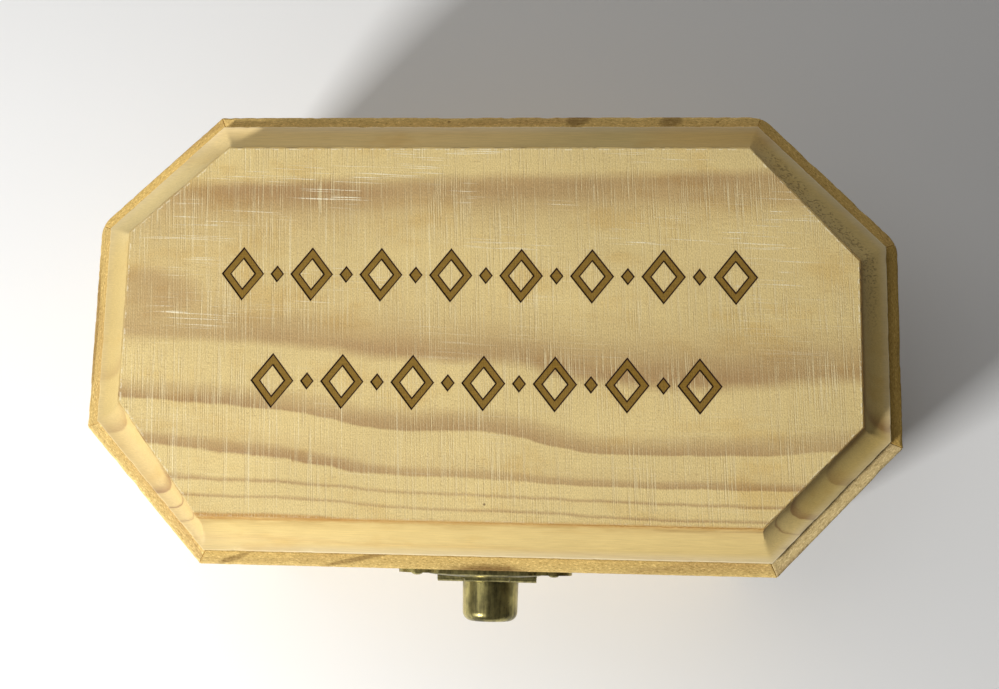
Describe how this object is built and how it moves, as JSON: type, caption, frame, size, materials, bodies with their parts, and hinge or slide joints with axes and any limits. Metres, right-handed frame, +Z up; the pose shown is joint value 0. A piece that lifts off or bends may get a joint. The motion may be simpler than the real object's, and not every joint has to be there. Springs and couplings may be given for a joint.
{
  "type": "hinged octagonal keepsake box",
  "caption": "Octagonal pale pine keepsake box with mitred walls, a hinged lid with a coved raised panel, and a brass hasp with a round knob.",
  "frame": {"origin": "middle of the box's underside, halfway along its length and its width", "axes": "+X along the long side, +Y from the clasp to the hinges, +Z up"},
  "size_m": [0.16, 0.105, 0.065],
  "materials": {
    "panel_wood": "satin",
    "frame_wood": "matte",
    "antique_brass": "satin"
  },
  "bodies": {
    "box": {"body_board_front": "frame_wood", "body_board_front_right": "frame_wood", "body_board_right": "frame_wood", "body_board_back_right": "frame_wood", "body_board_back": "frame_wood", "body_board_back_left": "frame_wood", "body_board_left": "frame_wood", "body_board_front_left": "frame_wood", "base_panel": "frame_wood", "hinge_left_body_leaf": "antique_brass", "hinge_left_pin": "antique_brass", "hinge_right_body_leaf": "antique_brass", "hinge_right_pin": "antique_brass", "catch_plate": "antique_brass", "catch_stud": "antique_brass"},
    "lid": {"lid_board_front": "frame_wood", "lid_board_front_right": "frame_wood", "lid_board_right": "frame_wood", "lid_board_back_right": "frame_wood", "lid_board_back": "frame_wood", "lid_board_back_left": "frame_wood", "lid_board_left": "frame_wood", "lid_board_front_left": "frame_wood", "lid_panel": "panel_wood", "hinge_left_lid_leaf": "antique_brass", "hinge_right_lid_leaf": "antique_brass", "clasp_plate": "antique_brass", "clasp_pin": "antique_brass"},
    "hasp": {"clasp_hasp": "antique_brass"}
  },
  "joints": [
    {"name": "lid_hinge", "type": "hinge", "parent": "box", "child": "lid", "pos_m": [0, 0.0471, 0.04215], "axis": [-1, 0, 0], "range_deg": [0, 180]},
    {"name": "hasp_hinge", "type": "hinge", "parent": "lid", "child": "hasp", "pos_m": [0, -0.0469, 0.0441], "axis": [-1, 0, 0], "range_deg": [0, 115]}
  ]
}
